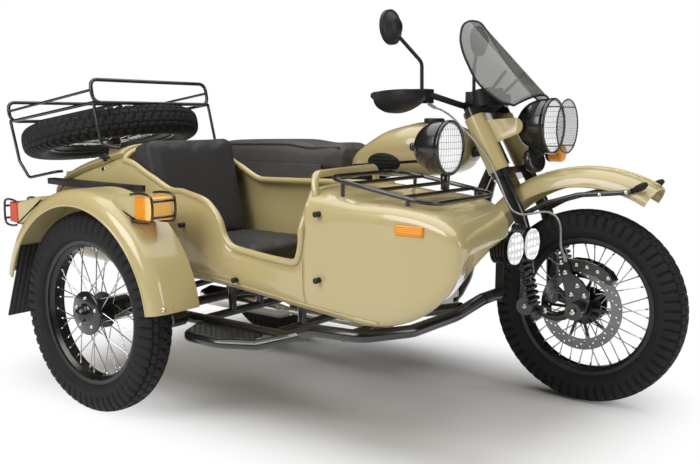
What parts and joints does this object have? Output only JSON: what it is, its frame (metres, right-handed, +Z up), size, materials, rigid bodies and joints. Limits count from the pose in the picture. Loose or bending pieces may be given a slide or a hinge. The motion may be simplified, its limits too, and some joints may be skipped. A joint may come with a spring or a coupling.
{
  "type": "sidecar motorcycle",
  "caption": "Boxer-twin motorcycle with a leading-link fork and a passenger sidecar on its right, carrying a spare wheel under a luggage rack.",
  "frame": {"origin": "ground level, at the centre of the box round the whole machine", "axes": "+X forward, +Y to the rider's left, +Z up"},
  "size_m": [2.4333, 1.712, 1.3883],
  "materials": {
    "paint": "gloss",
    "black_paint": "gloss",
    "wheel_black": "gloss",
    "tyre": "matte",
    "rubber": "matte",
    "vinyl": "satin",
    "alloy": "satin",
    "steel": "polished",
    "screen": "gloss",
    "amber": "gloss",
    "red_lamp": "gloss",
    "guard_plastic": "matte"
  },
  "bodies": {
    "chassis": {"frame_tubes": "black_paint", "engine_case": "alloy", "cylinders": "alloy", "intakes": "black_paint", "exhaust": "steel", "fuel_tank": "paint", "knee_pads": "rubber", "rider_seat": "vinyl", "rear_fender": "paint", "tail_lamp": "red_lamp", "rear_swing_arm": "black_paint", "rear_shocks": "black_paint", "sidecar_chassis": "black_paint", "sidecar_body": "paint", "cockpit_rail": "paint", "seat_base": "vinyl", "seat_back": "vinyl", "sidecar_fender": "paint", "mud_flap": "rubber", "fender_lamps": "black_paint", "fender_pad": "rubber", "sidecar_swing_arm": "black_paint", "step_plate": "black_paint", "nose_rack": "black_paint", "spot_lamp": "black_paint", "twin_lamps": "black_paint"},
    "steering": {"fork": "black_paint", "fork_covers": "paint", "front_shocks": "black_paint", "front_fender": "paint", "fender_braces": "black_paint", "headlamp": "black_paint", "instruments": "black_paint", "handlebar": "black_paint", "hand_guards": "guard_plastic", "mirrors": "black_paint", "windscreen": "screen", "front_signal": "amber", "front_caliper": "black_paint"},
    "front_wheel": {"front_tyre": "tyre", "front_wheel": "wheel_black"},
    "rear_wheel": {"rear_tyre": "tyre", "rear_wheel": "wheel_black"},
    "sidecar_wheel": {"sidecar_tyre": "tyre", "sidecar_wheel": "wheel_black"},
    "trunk_lid": {"trunk_lid": "paint", "spare_tyre": "tyre", "spare_wheel": "wheel_black", "luggage_rack": "black_paint"}
  },
  "joints": [
    {"name": "steering_turn", "type": "hinge", "parent": "chassis", "child": "steering", "pos_m": [0.78169, 0.366, 0.346], "axis": [-0.4818, 0, 0.8763], "range_deg": [-35, 35]},
    {"name": "front_wheel_spin", "type": "hinge", "parent": "steering", "child": "front_wheel", "pos_m": [0.87069, 0.366, 0.346], "axis": [0, 1, 0], "continuous": true},
    {"name": "rear_wheel_spin", "type": "hinge", "parent": "chassis", "child": "rear_wheel", "pos_m": [-0.59931, 0.366, 0.346], "axis": [0, 1, 0], "continuous": true},
    {"name": "sidecar_wheel_spin", "type": "hinge", "parent": "chassis", "child": "sidecar_wheel", "pos_m": [-0.42831, -0.764, 0.346], "axis": [0, 1, 0], "continuous": true},
    {"name": "trunk_lid_hinge", "type": "hinge", "parent": "chassis", "child": "trunk_lid", "pos_m": [-0.94431, -0.3315, 0.776], "axis": [0, -1, 0], "range_deg": [0, 70]}
  ]
}
